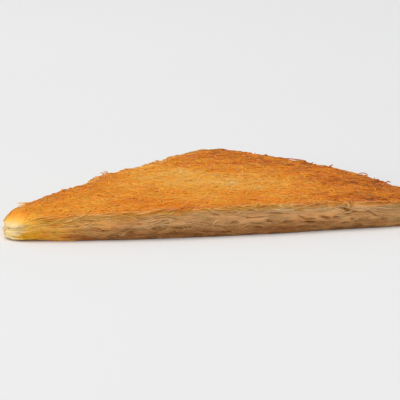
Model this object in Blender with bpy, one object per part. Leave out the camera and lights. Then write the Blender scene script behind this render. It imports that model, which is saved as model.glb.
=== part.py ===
"""A wedge of kunafa cut from a round tray: shredded pastry below and above a cheese filling.

The wedge is built with the point of the cut at the origin and its front cut along +X, then hung on an empty
that puts the middle of its footprint at the world origin. Everything is in metres, +Z up.
"""

import math
import random

import bmesh
import bpy
from mathutils import Matrix, Vector, noise

# The slice in plan
TRAY_RADIUS = 0.188
SLICE_ANGLE = math.radians(50)
NOSE_RADIUS = 0.0075
CORNER_RADIUS = 0.010
FRONT_BULGE = 0.0068  # how far the front cut swells out halfway along
# Shorter swellings of the back cut: how far they stand out, the share of the way to the rim, the share long
BACK_LUMPS = ((-0.0024, 0.455, 0.050), (0.0026, 0.58, 0.065))
RAGGEDNESS = 0.0006  # how far the cuts wander in and out
RAGGED_SIZE = 0.0085

# Hollows that show in the front cut: distance from where the two cuts would meet, height, depth
FRONT_HOLLOWS = (
    (0.056, 0.0057, 0.0010),
    (0.086, 0.0035, 0.0012),
    (0.116, 0.0048, 0.0012),
    (0.1285, 0.0067, 0.0013),
    (0.139, 0.0042, 0.0016),
    (0.152, 0.0083, 0.0016),
)
HOLLOW_LENGTH = 0.0040
HOLLOW_HEIGHT = 0.0013

# The slice in height
LOWER_THICKNESS = 0.0043
FILLING_THICKNESS = 0.0046
UPPER_THICKNESS = 0.0033
LAYER_GAP = 0.0003
THICKEST = 0.100  # where the slice is thickest, from where the two cuts would meet
POINT_SAG = 0.28  # share of the height that is lost from there to the cuts' meeting
RIM_SAG = 0.17  # and to the rim
SEAM_WAVE = 0.0005  # how far the layers wander up and down along the cuts
SEAM_WAVE_SIZE = 0.017
TOP_SWELL = 0.0005  # broad rise and fall of the top
TOP_SWELL_SIZE = 0.045
TOP_BUMP = 0.00035  # bumps as wide as a few strands
TOP_BUMP_SIZE = 0.006
TOP_LUMP = 0.0002
TOP_LUMP_SIZE = 0.011
EDGE_ROLL = 0.0010  # drop of the top where it meets the sides

# The point of the slice, which has sunk and rounded off
NOSE_SINK = 0.22  # share of the height that is lost at the point
NOSE_SINK_LENGTH = 0.009
NOSE_LIFT = 0.0035  # how far back from the point the underside starts
NOSE_LIFT_LENGTH = 0.020
NOSE_LIFT_IN = 0.5  # share of the lift that draws the resting face in from the cuts
NOSE_LIFT_ASIDE = 0.4  # share of it that turns towards the back cut

# How far each level of the cuts stands out from the outline, and that level as a share of its layer
CRUST_OVERHANG, CRUST_LEVEL = 0.0007, 0.45
FILLING_BULGE, BULGE_LOW_LEVEL, BULGE_HIGH_LEVEL = 0.0005, 0.32, 0.70
WAIST_BULGE, WAIST_LEVEL = 0.0003, 0.60
SHIN_BULGE, SHIN_LEVEL = 0.0002, 0.22
FOOT_SETBACK = 0.0007  # the cuts round in to the resting face
RIM_SETBACK = 0.0012  # the filling stops short of the tray's wall

# Mesh
ROWS = 38  # rows of the top, from the point to the rim
NOSE_CROWDING = 1.25  # above 1 the rows crowd towards the point
CAP_SHRINK = 0.85  # size of the flat inner part of a hidden face
CAP_LEVEL = 0.93  # its height as a share of the seam's
SHARP_ANGLE = math.radians(50)

# Shreds of pastry that are large enough to stand out
STRAND_RADIUS = 0.00043
STRAND_STEP = 0.0028
STRAND_POINTS = 5
STRAND_CURL = 0.55  # most that a shred turns at each step, in radians
STRAND_PROUD = 0.35  # how far a shred's axis lies over the surface, in radii
STRAND_SUNK = -0.6  # the same at an end that goes in
WELD_DISTANCE = 0.000001
TOP_STRANDS = 66
TOP_MARGIN_OUT, TOP_MARGIN_ACROSS = 0.03, 0.06  # kept clear of shreds at the rim and beside each cut
GOLDEN_SHARE = 0.618034  # steps of this share across the slice spread the shreds evenly

# Shreds pressed flat in the cuts, and the band of levels that each kind keeps to
CUT_STRAND_CURL = 0.2
CUT_STRAND_SLANT = 0.06
CUT_STRAND_DAMPING = 0.4  # what is left of a shred's climb at each step
CUT_STRAND_START = 0.001  # outside the cut, from where it is laid on the surface
UPPER_CUT_STRANDS, UPPER_CUT_BAND = 14, (0.45, 0.70)
LOWER_CUT_STRANDS, LOWER_CUT_BAND = 26, (0.30, 0.60)

# Shreds that stick out of the browned edge: (out, across) of each, as plan takes them
STRAY_SPOTS = ((0.05, 0.9), (0.99, 0.25), (0.99, 0.35), (0.99, 0.45), (0.99, 0.55), (0.75, 0.99), (0.45, 0.99))
STRAY_AIM = (0.6, 0.5)  # they point away from here
STRAY_TURN = 0.9
STRAY_RISE = 0.6
STRAY_ROOT = 0.006  # how far back from the edge a stray starts
STRAY_FREE_STEP = 3  # the first step that has left the surface
SEED = 11

LOWER_FACE = LOWER_THICKNESS + LAYER_GAP / 2  # middle of the gap under the filling
UPPER_FACE = LOWER_FACE + FILLING_THICKNESS + LAYER_GAP  # middle of the gap over it
HEIGHT = UPPER_FACE + LAYER_GAP / 2 + UPPER_THICKNESS
HALF_ANGLE = SLICE_ANGLE / 2
NOSE_CENTRE = NOSE_RADIUS / math.sin(HALF_ANGLE)
NOSE_TIP = NOSE_CENTRE - NOSE_RADIUS
CORNER_DISTANCE = TRAY_RADIUS - CORNER_RADIUS
CORNER_ANGLE = math.asin(CORNER_RADIUS / CORNER_DISTANCE)


def clear_scene():
    for obj in list(bpy.data.objects):
        bpy.data.objects.remove(obj)


def smooth(x):
    x = min(max(x, 0.0), 1.0)
    return x * x * (3 - 2 * x)


def ripple(point, size, seed):
    """Smooth noise, -1 to 1, whose bumps are about size across."""
    return noise.noise(Vector((point[0] / size, point[1] / size, seed)))


def half_spread(radius):
    """Angle from the middle line to a cut, which closes in a circle at the point."""
    if radius >= NOSE_CENTRE * math.cos(HALF_ANGLE):
        return HALF_ANGLE
    cosine = (radius**2 + NOSE_CENTRE**2 - NOSE_RADIUS**2) / (2 * radius * NOSE_CENTRE)
    return math.acos(min(1.0, cosine))


def rim_radius(angle):
    """Distance from the apex to the rim, which is the tray's circle with its two corners rounded."""
    from_cut = HALF_ANGLE - abs(angle)
    if from_cut >= CORNER_ANGLE:
        return TRAY_RADIUS
    turn = CORNER_ANGLE - from_cut
    side = max(CORNER_RADIUS**2 - (CORNER_DISTANCE * math.sin(turn)) ** 2, 0.0)
    return CORNER_DISTANCE * math.cos(turn) + math.sqrt(side)


def plan(out, across):
    """Place in plan: out runs from the point to the rim, across from the front cut to the back cut."""
    share = out**NOSE_CROWDING
    spread = half_spread(NOSE_TIP + (TRAY_RADIUS - NOSE_TIP) * share)
    angle = (2 * across - 1) * spread
    radius = NOSE_TIP + (rim_radius(angle) - NOSE_TIP) * share
    angle -= (1 - across) * FRONT_BULGE * math.sin(math.pi * out) / radius
    for lump, place, length in BACK_LUMPS:
        angle += across * lump * math.exp(-(((out - place) / length) ** 2)) / radius
    return Vector((radius * math.cos(HALF_ANGLE + angle), radius * math.sin(HALF_ANGLE + angle), 0))


def settle(point):
    """Share of the full height at this place: the slice thins to both ends, and its point has sunk."""
    radius = point.xy.length
    most, reach = (RIM_SAG, TRAY_RADIUS - THICKEST) if radius > THICKEST else (POINT_SAG, THICKEST)
    sag = most * ((radius - THICKEST) / reach) ** 2
    return 1 - sag - NOSE_SINK * (1 - smooth((radius - NOSE_TIP) / NOSE_SINK_LENGTH))


def outline():
    """The outline, counter-clockwise from the point: (place, outward normal, how far along the rim)."""
    steps = [i / ROWS for i in range(ROWS)]
    edge = [(s, 0.0) for s in steps] + [(1.0, s) for s in steps] + [(1 - s, 1.0) for s in steps]
    places = [plan(out, across) for out, across in edge]
    rows = []
    for i, place in enumerate(places):
        along = places[(i + 1) % len(places)] - places[i - 1]
        rows.append((place, Vector((along.y, -along.x, 0)).normalized(), edge[i][0] == 1.0))
    return rows


def ragged(place, height):
    """How far the cut wanders out at this place of the outline. Each height has a pattern of its own."""
    wander = RAGGEDNESS * ripple(place, RAGGED_SIZE, 1000 * height)
    if place.y < NOSE_RADIUS:
        for along, level, depth in FRONT_HOLLOWS:
            apart = ((place.x - along) / HOLLOW_LENGTH) ** 2 + ((height - level) / HOLLOW_HEIGHT) ** 2
            wander -= depth * math.exp(-apart)
    return wander


def ring(height, offset, rim_offset=0.0):
    """One closed loop round the slice at a height, pushed out by offset with a little raggedness."""
    loop = []
    for place, normal, on_rim in outline():
        shifted = place + normal * (offset + ragged(place, height) + (rim_offset if on_rim else 0.0))
        loop.append(Vector((shifted.x, shifted.y, settle(place) * height)))
    return loop


def interface(level, side, rim_offset=0.0):
    """Edge of a face between two layers, which wanders up and down. Returns its loop and flat inner part.

    side is 1 for the face above the gap and -1 for the face below it. Both follow the same line.
    """
    loop = ring(level, 0.0, rim_offset)
    for point, (place, _, _) in zip(loop, outline()):
        wave = SEAM_WAVE * ripple(place, SEAM_WAVE_SIZE, 1000 * level)
        point.z = settle(place) * (level + wave) + side * LAYER_GAP / 2
    return loop, flat_cap(ring(level, 0.0), CAP_LEVEL * level + side * LAYER_GAP / 2)


def foot_ring():
    """The edge of the resting face, drawn in a little all round and further at the point."""
    loop = []
    for place, normal, _ in outline():
        lifted = NOSE_LIFT * (1 - smooth((place.xy.length - NOSE_TIP) / NOSE_LIFT_LENGTH))
        drawn_in = place + normal * (ragged(place, 0) - FOOT_SETBACK - NOSE_LIFT_IN * lifted)
        loop.append(Vector((drawn_in.x + lifted, drawn_in.y + NOSE_LIFT_ASIDE * lifted, 0)))
    return loop


def flat_cap(loop, height):
    """A smaller level copy of a loop, the edge of the flat part of a hidden face."""
    centre = sum(loop, Vector()) / len(loop)
    return [Vector((*(centre + (p - centre) * CAP_SHRINK).xy, height)) for p in loop]


def join_loops(bm, lower, upper):
    """A band of quads between two loops of vertices, the faces outwards when lower is below upper."""
    for i in range(len(lower)):
        j = (i + 1) % len(lower)
        bm.faces.new((lower[i], lower[j], upper[j], upper[i]))


def add_loops(bm, loops):
    """Vertices for each loop, bottom first, and the bands between them."""
    made = [[bm.verts.new(p) for p in loop] for loop in loops]
    for lower, upper in zip(made, made[1:]):
        join_loops(bm, lower, upper)
    return made


def finish_mesh(bm, name, material, parent, collection):
    bmesh.ops.triangulate(bm, faces=bm.faces, quad_method="SHORT_EDGE")
    bmesh.ops.recalc_face_normals(bm, faces=bm.faces)
    mesh = bpy.data.meshes.new(name)
    bm.to_mesh(mesh)
    bm.free()
    mesh.shade_smooth()
    mesh.set_sharp_from_angle(angle=SHARP_ANGLE)
    mesh.materials.append(material)
    obj = bpy.data.objects.new(name, mesh)
    collection.objects.link(obj)
    obj.parent = parent
    return obj


def pastry_material(name, colour, roughness):
    material = bpy.data.materials.new(name)
    material.use_nodes = True
    shader = material.node_tree.nodes["Principled BSDF"]
    shader.inputs["Base Color"].default_value = (*colour, 1)
    shader.inputs["Roughness"].default_value = roughness
    shader.inputs["Metallic"].default_value = 0.0
    return material


def top_height(place):
    """Height of the browned top: broad swells, with bumps as wide as a few strands."""
    swell = TOP_SWELL * ripple(place, TOP_SWELL_SIZE, 3)
    lump = TOP_LUMP * ripple(place, TOP_LUMP_SIZE, 5)
    bump = TOP_BUMP * ripple(place, TOP_BUMP_SIZE, 7)
    return settle(place) * HEIGHT + swell + lump + bump


def add_top_surface(bm):
    """The top as an even triangular grid, one triangle subdivided. Returns its edge, front cut first."""
    corners = [bm.verts.new(p) for p in ((0, 0, 0), (1, 0, 0), (1, 1, 0))]
    bm.faces.new(corners)
    bmesh.ops.subdivide_edges(bm, edges=bm.edges, cuts=ROWS - 1, use_grid_fill=True)
    border = {}
    for vert in bm.verts:
        out = round(vert.co.x * ROWS)
        step = round(vert.co.y * ROWS)
        across = step / out if out else 0.0
        place = plan(out / ROWS, across)
        at_edge = step == 0 or step == out or out == ROWS
        drop = settle(place) * EDGE_ROLL if at_edge else 0.0
        vert.co = (place.x, place.y, top_height(place) - drop)
        if at_edge:
            border[(out, step)] = vert
    front = [border[(k, 0)] for k in range(ROWS)]
    rim = [border[(ROWS, k)] for k in range(ROWS)]
    back = [border[(k, k)] for k in range(ROWS, 0, -1)]
    return front + rim + back


def build_upper_core(material, parent, collection):
    """The upper pastry without its loose shreds: browned top, ragged cuts, hidden underside."""
    bm = bmesh.new()
    border = add_top_surface(bm)
    underside, cap = interface(UPPER_FACE, 1)
    overhang = ring(UPPER_FACE + CRUST_LEVEL * UPPER_THICKNESS, CRUST_OVERHANG)
    loops = add_loops(bm, [cap, underside, overhang])
    bm.faces.new(reversed(loops[0]))
    join_loops(bm, loops[-1], border)
    return finish_mesh(bm, "upper_pastry", material, parent, collection)


def build_filling(material, parent, collection):
    """The cheese, which bulges a little out of the cuts and stops short of the tray's wall."""
    bm = bmesh.new()
    lower, lower_cap = interface(LOWER_FACE, 1, -RIM_SETBACK)
    upper, upper_cap = interface(UPPER_FACE, -1, -RIM_SETBACK)
    low_bulge = ring(LOWER_FACE + BULGE_LOW_LEVEL * FILLING_THICKNESS, FILLING_BULGE, -RIM_SETBACK)
    high_bulge = ring(LOWER_FACE + BULGE_HIGH_LEVEL * FILLING_THICKNESS, FILLING_BULGE, -RIM_SETBACK)
    loops = add_loops(bm, [lower_cap, lower, low_bulge, high_bulge, upper, upper_cap])
    bm.faces.new(reversed(loops[0]))
    bm.faces.new(loops[-1])
    return finish_mesh(bm, "cheese_filling", material, parent, collection)


def build_lower_core(material, parent, collection):
    """The lower pastry without its loose shreds. The slice stands on its level underside."""
    bm = bmesh.new()
    upper, cap = interface(LOWER_FACE, -1)
    shin = ring(SHIN_LEVEL * LOWER_THICKNESS, SHIN_BULGE)
    waist = ring(WAIST_LEVEL * LOWER_THICKNESS, WAIST_BULGE)
    loops = add_loops(bm, [foot_ring(), shin, waist, upper, cap])
    bm.faces.new(reversed(loops[0]))
    bm.faces.new(loops[-1])
    return finish_mesh(bm, "lower_pastry", material, parent, collection)


def strand_path(core, start, heading, rng, stray=False, band=None):
    """Points of a shred that creeps over the core: both ends sink in, or the last lifts off if stray.

    On a cut, band is the lowest and highest level that the shred may reach, clear of the other layers.
    """
    points = []
    place = Vector(start)
    for step in range(STRAND_POINTS):
        _, surface, normal, _ = core.closest_point_on_mesh(place)
        sunk = step == 0 or (step == STRAND_POINTS - 1 and not stray)
        if stray and step >= STRAY_FREE_STEP:
            rising = (heading + Vector((0, 0, rng.uniform(0.0, STRAY_RISE)))).normalized()
            points.append(points[-1] + rising * STRAND_STEP)
        else:
            points.append(surface + normal * STRAND_RADIUS * (STRAND_SUNK if sunk else STRAND_PROUD))
        curl = STRAND_CURL if band is None else CUT_STRAND_CURL
        heading = Matrix.Rotation(rng.uniform(-curl, curl), 3, normal) @ heading
        heading = (heading - normal * heading.dot(normal)).normalized()
        if band:
            low, high = (settle(surface) * level for level in band)
            points[-1].z = min(max(points[-1].z, low), high)
            heading.z *= CUT_STRAND_DAMPING
        place = surface + heading * STRAND_STEP
    return points


def strand_solid(points, number, collection):
    """A four-sided shred along its points, as a closed mesh."""
    curve = bpy.data.curves.new(f"shred_{number}", "CURVE")
    curve.dimensions = "3D"
    curve.bevel_depth = STRAND_RADIUS
    curve.bevel_resolution = 0
    curve.use_fill_caps = True
    spline = curve.splines.new("POLY")
    spline.points.add(len(points) - 1)
    for point, place in zip(spline.points, points):
        point.co = (*place, 1)
    guide = bpy.data.objects.new(curve.name, curve)
    bpy.context.scene.collection.objects.link(guide)
    graph = bpy.context.evaluated_depsgraph_get()
    mesh = bpy.data.meshes.new_from_object(guide.evaluated_get(graph))
    bpy.data.objects.remove(guide)
    bm = bmesh.new()
    bm.from_mesh(mesh)
    bmesh.ops.remove_doubles(bm, verts=bm.verts, dist=WELD_DISTANCE)
    bmesh.ops.recalc_face_normals(bm, faces=bm.faces)
    bm.to_mesh(mesh)
    bm.free()
    collection.objects.link(bpy.data.objects.new(mesh.name, mesh))


def keep_largest_island(mesh):
    """Fills a hollow that the joined shreds have sealed and drops any loose scrap."""
    bm = bmesh.new()
    bm.from_mesh(mesh)
    unseen = set(bm.verts)
    islands = []
    while unseen:
        todo = [unseen.pop()]
        island = set(todo)
        while todo:
            for edge in todo.pop().link_edges:
                for vert in edge.verts:
                    if vert in unseen:
                        unseen.discard(vert)
                        island.add(vert)
                        todo.append(vert)
        islands.append(island)
    for island in sorted(islands, key=len)[:-1]:
        bmesh.ops.delete(bm, geom=list(island), context="VERTS")
    bm.to_mesh(mesh)
    bm.free()


def fuse_strands(core, paths):
    """Joins shreds to their core in one Boolean union."""
    shreds = bpy.data.collections.new(f"shreds of {core.name}")
    bpy.context.scene.collection.children.link(shreds)
    for number, path in enumerate(paths):
        strand_solid(path, number, shreds)
    union = core.modifiers.new("shreds", "BOOLEAN")
    union.operation = "UNION"
    union.operand_type = "COLLECTION"
    union.collection = shreds
    union.solver = "MANIFOLD"
    graph = bpy.context.evaluated_depsgraph_get()
    joined = bpy.data.meshes.new_from_object(core.evaluated_get(graph))
    core.modifiers.clear()
    core.data = joined
    keep_largest_island(joined)
    for obj in list(shreds.objects):
        bpy.data.objects.remove(obj)
    bpy.data.collections.remove(shreds)


def top_strands(core, rng):
    """Shreds that lie every way on the browned top, spread evenly by the area of the slice."""
    paths = []
    for number in range(TOP_STRANDS):
        out = (1 - TOP_MARGIN_OUT) * math.sqrt((number + 0.5) / TOP_STRANDS)
        across = TOP_MARGIN_ACROSS + (1 - 2 * TOP_MARGIN_ACROSS) * (number * GOLDEN_SHARE % 1.0)
        place = plan(out, across)
        place.z = top_height(place)
        turn = rng.uniform(0, 2 * math.pi)
        paths.append(strand_path(core, place, Vector((math.cos(turn), math.sin(turn), 0)), rng))
    return paths


def cut_strands(core, count, face, thickness, band, rng):
    """Shreds pressed flat along the front cut, the rim and the back cut, spread evenly round the outline.

    They keep to a band of levels, given as shares of the layer's thickness over its lower face.
    """
    low, high = (face + share * thickness for share in band)
    edge = outline()
    paths = []
    for number in range(count):
        index = int((number + 0.5) * len(edge) / count)
        place, normal, _ = edge[index]
        height = settle(place) * (low + (high - low) * rng.random())
        slant = rng.uniform(-CUT_STRAND_SLANT, CUT_STRAND_SLANT)
        along = Vector((-normal.y, normal.x, slant)).normalized()
        start = place + normal * CUT_STRAND_START + Vector((0, 0, height))
        paths.append(strand_path(core, start, along, rng, band=(low, high)))
    return paths


def stray_strands(core, rng):
    """Shreds that stick out of the browned edge, each pointing roughly away from the middle of the slice."""
    paths = []
    for out, across in STRAY_SPOTS:
        place = plan(out, across)
        away = (place - plan(*STRAY_AIM)).normalized()
        away = Matrix.Rotation(rng.uniform(-STRAY_TURN, STRAY_TURN), 3, "Z") @ away
        root = place - away * STRAY_ROOT
        root.z = top_height(root)
        paths.append(strand_path(core, root, away, rng, stray=True))
    return paths


def centre_on_footprint(anchor, nodes):
    """Moves the empty so that the middle of the slice's footprint is at the world origin."""
    corners = [vert.co for obj in nodes for vert in obj.data.vertices]
    middle_x = (min(p.x for p in corners) + max(p.x for p in corners)) / 2
    middle_y = (min(p.y for p in corners) + max(p.y for p in corners)) / 2
    anchor.location = (-middle_x, -middle_y, 0)


def main():
    clear_scene()
    collection = bpy.data.collections.new("kunafa")
    bpy.context.scene.collection.children.link(collection)
    anchor = bpy.data.objects.new("kunafa", None)
    collection.objects.link(anchor)

    browned = pastry_material("browned_pastry", (0.74, 0.26, 0.035), 0.5)
    cheese = pastry_material("cheese", (0.74, 0.55, 0.28), 0.42)
    syrupy = pastry_material("syrupy_pastry", (0.52, 0.27, 0.09), 0.5)

    upper = build_upper_core(browned, anchor, collection)
    filling = build_filling(cheese, anchor, collection)
    lower = build_lower_core(syrupy, anchor, collection)
    bpy.context.view_layer.update()

    rng = random.Random(SEED)
    upper_cut = cut_strands(upper, UPPER_CUT_STRANDS, UPPER_FACE, UPPER_THICKNESS, UPPER_CUT_BAND, rng)
    fuse_strands(upper, top_strands(upper, rng) + upper_cut + stray_strands(upper, rng))
    fuse_strands(lower, cut_strands(lower, LOWER_CUT_STRANDS, 0, LOWER_THICKNESS, LOWER_CUT_BAND, rng))
    centre_on_footprint(anchor, (upper, filling, lower))


main()
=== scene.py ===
import itertools
import math

import bpy
import numpy as np
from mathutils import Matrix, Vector


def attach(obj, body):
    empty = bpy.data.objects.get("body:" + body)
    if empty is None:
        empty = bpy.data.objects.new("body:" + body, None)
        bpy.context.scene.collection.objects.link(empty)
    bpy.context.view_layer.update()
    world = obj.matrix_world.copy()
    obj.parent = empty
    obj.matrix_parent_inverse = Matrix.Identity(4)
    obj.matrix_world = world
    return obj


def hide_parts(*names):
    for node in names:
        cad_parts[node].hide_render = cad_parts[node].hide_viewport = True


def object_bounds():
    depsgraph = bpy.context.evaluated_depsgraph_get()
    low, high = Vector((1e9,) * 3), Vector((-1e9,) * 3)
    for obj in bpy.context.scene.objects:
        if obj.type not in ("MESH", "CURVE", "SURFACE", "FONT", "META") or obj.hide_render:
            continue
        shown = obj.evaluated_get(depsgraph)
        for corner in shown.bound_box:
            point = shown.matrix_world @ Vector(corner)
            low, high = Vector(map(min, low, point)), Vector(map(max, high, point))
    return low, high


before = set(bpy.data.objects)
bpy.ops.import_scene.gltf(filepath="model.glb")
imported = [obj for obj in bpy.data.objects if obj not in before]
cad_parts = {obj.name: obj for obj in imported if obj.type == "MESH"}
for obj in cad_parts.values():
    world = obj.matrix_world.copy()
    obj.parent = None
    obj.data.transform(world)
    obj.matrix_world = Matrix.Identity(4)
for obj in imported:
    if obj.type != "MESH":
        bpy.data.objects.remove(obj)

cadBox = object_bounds()
print("frame loaded:", ", ".join(sorted(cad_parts)))

# The slice as its solids have it, in metres. Shapes are worked out from the place where the two cuts would
# meet, with the front cut along +X, and moved into the frame when their mesh is made.
wedge = dict(
    trayRadius=0.188,
    sliceAngle=math.radians(50),
    noseRadius=0.0075,
    cornerRadius=0.010,
    frontBulge=0.0068,
    backLumps=((-0.0024, 0.455, 0.050), (0.0026, 0.58, 0.065)),  # depth, share of the way to the rim, length
    noseCrowding=1.25,
    thickest=0.100,  # where the slice is thickest, from where the two cuts would meet
    pointSag=0.28,  # share of the height lost from there to that meeting
    rimSag=0.17,  # and to the rim
    noseSink=0.30,  # further share of the height lost at the point
    noseSinkLength=0.012,
    noseLift=0.0035,  # how far the underside is drawn in at the point
    noseLiftAside=0.4,  # share of that to the side, along +Y
    noseLiftIn=0.5,  # and further in along the outline's normal
    noseLiftLength=0.020,
    rimBlend=0.8,  # a cut turns into the rim over this many corner radii
    outlineSteps=1300,
)
storeys = dict(
    lowSeam=0.00445,  # between the lower pastry and the cheese
    highSeam=0.00935,  # between the cheese and the upper pastry
    height=0.0128,
    seamWaves=((0.017, 0.0005, 0), (0.0045, 0.00025, 4)),  # size, height and seed of each noise
    topWaves=((0.045, 0.0005, 3), (0.0060, 0.00035, 8)),
    ragged=0.0006,  # raggedness of the cuts
    raggedSize=0.0085,
    raggedHeight=0.004,
    raggedTop=3.0,  # the noise's level at the top
    edgeRoll=0.0011,  # radius of the shoulder where the top meets a side
    footSetback=0.0007,
    footStorey=0.45,  # the foot is drawn in below this storey
    rimSetback=0.0006,
    fillingBulge=0.0004,
)
halfAngle = wedge["sliceAngle"] / 2
noseCentre = wedge["noseRadius"] / math.sin(halfAngle)
noseTip = noseCentre - wedge["noseRadius"]
noseX, noseY = noseCentre * math.cos(halfAngle), noseCentre * math.sin(halfAngle)
cornerDistance = wedge["trayRadius"] - wedge["cornerRadius"]
cornerAngle = math.asin(wedge["cornerRadius"] / cornerDistance)
upward = np.array([0.0, 0.0, 1.0])


def smooth(x):
    # 3x^2 - 2x^3, held at 0 below 0 and at 1 above 1
    x = np.clip(x, 0.0, 1.0)
    return x * x * (3 - 2 * x)


def bell(x, width):
    # 1 in the middle, falling off as exp(-(x / width)^2)
    return np.exp(-((x / width) ** 2))


def growth(distance, over):
    # 0 up to the start, then growing smoothly to 1 over the length
    start, length = over
    return smooth((distance - start) / length)


def nearTip(radius, reach):
    # 1 at the slice's tip, falling smoothly to 0 this far behind it
    return 1 - growth(radius, (noseTip, reach))


def unit(vectors):
    # Each vector divided by its length
    return vectors / np.maximum(np.linalg.norm(vectors, axis=-1, keepdims=True), 1e-12)


def latticeNoise(x, y, z, seed):
    # Smooth noise from -1 to 1: a random number at each whole-number corner round the point, made by mixing
    # up the corner's numbers with the seed, and blended along each axis by 3t^2 - 2t^3
    place = np.stack(np.broadcast_arrays(x, y, z)).astype(float)
    cell = np.floor(place).astype(np.int64)
    blend = smooth(place - cell)
    total = np.zeros(place.shape[1:])
    for corner in itertools.product((0, 1), repeat=3):
        key = seed * 7919
        weight = 1.0
        for axis, factor in enumerate((374761393, 668265263, 1274126177)):
            key = key + (cell[axis] + corner[axis]) * factor
            weight = weight * (blend[axis] if corner[axis] else 1 - blend[axis])
        key = key & 0x7FFFFFFF
        key = ((key ^ (key >> 13)) * 1103515245) & 0x7FFFFFFF
        key = ((key ^ (key >> 15)) * 69069) & 0x7FFFFFFF
        total += weight * ((key >> 11) / 524287.5 - 1)
    return total


def planNoise(x, y, size, seed):
    # The smooth noise over the plan, with features of this size
    return latticeNoise(x / size, y / size, 0, seed)


def noiseSum(x, y, noises, further=0):
    # Sum of plan noises, each given as its size, amount and seed
    return sum(amount * planNoise(x, y, size, seed + further) for size, amount, seed in noises)


def folded(noise):
    # Noise folded at zero, so that narrow crests stand between wide hollows: 1 - 2 |noise|
    return 1 - 2 * np.abs(noise)


def planOf(points):
    # The x and the y of points
    return points[..., 0], points[..., 1]


def halfSpread(radius):
    # Angle from the middle line to a cut. Inside the nose it follows the nose's circle, by the law of cosines
    cosine = (radius**2 + noseCentre**2 - wedge["noseRadius"] ** 2) / (2 * radius * noseCentre)
    return np.where(radius < noseX, np.arccos(np.clip(cosine, -1, 1)), halfAngle)


def rimRadius(angle):
    # Distance of the rim from the apex: the tray's circle, and at each end the circle that rounds its corner
    turn = np.maximum(cornerAngle - (halfAngle - np.abs(angle)), 0.0)
    side = np.maximum(wedge["cornerRadius"] ** 2 - (cornerDistance * np.sin(turn)) ** 2, 0.0)
    return cornerDistance * np.cos(turn) + np.sqrt(side)


def swelling(out):
    # How far the front cut swells out, a half sine wave, and the back cut, a dent and a lump, both bells, at
    # this share of the way from the point to the rim
    front = wedge["frontBulge"] * np.sin(math.pi * out)
    return front, sum(deep * bell(out - place, length) for deep, place, length in wedge["backLumps"])


def planAt(out, across):
    # Place in plan. out is 0 at the point and 1 at the rim, across is 0 at the front cut and 1 at the back
    # cut: polar coordinates whose spread closes at the nose, turned aside by the swelling over the radius
    share = out ** wedge["noseCrowding"]
    angle = (2 * across - 1) * halfSpread(noseTip + (wedge["trayRadius"] - noseTip) * share)
    radius = noseTip + (rimRadius(angle) - noseTip) * share
    front, back = swelling(out)
    angle = angle - (1 - across) * front / radius + across * back / radius
    return radius * np.cos(halfAngle + angle), radius * np.sin(halfAngle + angle)


def traceOutline(steps, samples=1600):
    # The border of planAt, front cut, then rim, then back cut, cut into equal steps of its own length. The
    # normal is the tangent turned a quarter clockwise
    t = np.linspace(0, 1, samples)
    crowded = t**2
    legs = (planAt(crowded, 0 * t), planAt(1 + 0 * t, t), planAt(crowded[::-1], 1 + 0 * t))
    x, y = (np.concatenate([legs[0][k], legs[1][k][1:], legs[2][k][1:]]) for k in (0, 1))
    run = np.concatenate([[0], np.cumsum(np.hypot(np.diff(x), np.diff(y)))])
    along = np.linspace(0, run[-1], steps, endpoint=False)
    x, y = np.interp(along, run, x), np.interp(along, run, y)
    ahead = unit(np.stack([np.roll(x, -1) - np.roll(x, 1), np.roll(y, -1) - np.roll(y, 1)], axis=-1))
    return dict(along=along, length=run[-1], x=x, y=y, normalX=ahead[:, 1], normalY=-ahead[:, 0])


def onOutline(along, *keys):
    # The traced outline's values at these distances along it, straight between its steps
    return [np.interp(along, outline["along"], outline[k], period=outline["length"]) for k in keys]


outline = traceOutline(wedge["outlineSteps"])
middle = np.array([outline["x"].mean(), outline["y"].mean()])
apex = np.array([-0.097961, -0.066459, 0.0])  # where the two cuts would meet, in the frame
print("outline traced: %.0f mm round, apex at %.2f, %.2f mm" % (1000 * outline["length"], *(1000 * apex[:2])))


def edgeDistance(x, y):
    # Distance inside the outline, negative outside: the least distance to the two cuts and the rim, with the
    # circles of the nose and the two corners in place of their sharp meeting
    radius = np.hypot(x, y)
    share = np.clip((radius - noseTip) / (wedge["trayRadius"] - noseTip), 0, 1)
    front, back = swelling(share ** (1 / wedge["noseCrowding"]))
    front = front + y
    back = back + x * math.sin(wedge["sliceAngle"]) - y * math.cos(wedge["sliceAngle"])
    cut = np.minimum(front, back)
    rim = wedge["trayRadius"] - radius
    corner = wedge["cornerRadius"]
    rounded = corner - np.hypot(corner - np.minimum(cut, corner), corner - np.minimum(rim, corner))
    distance = np.where((cut < corner) & (rim < corner), rounded, np.minimum(cut, rim))
    fromNose = np.hypot(x - noseX, y - noseY)
    return np.where(radius < noseX, wedge["noseRadius"] - fromNose, distance)


def rimShare(x, y):
    # 0 beside the cuts, 1 beside the tray's wall
    return growth(np.hypot(x, y), (cornerDistance, wedge["rimBlend"] * wedge["cornerRadius"]))


def settle(x, y):
    # Share of the full height at this place: two half parabolas thin the slice to its point and to its rim,
    # and the point has sunk further
    radius = np.hypot(x, y)
    toPoint = wedge["pointSag"] * (np.minimum(radius - wedge["thickest"], 0) / wedge["thickest"]) ** 2
    beyond = np.maximum(radius - wedge["thickest"], 0) / (wedge["trayRadius"] - wedge["thickest"])
    sunk = wedge["noseSink"] * nearTip(radius, wedge["noseSinkLength"])
    return 1 - toPoint - wedge["rimSag"] * beyond**2 - sunk


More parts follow.
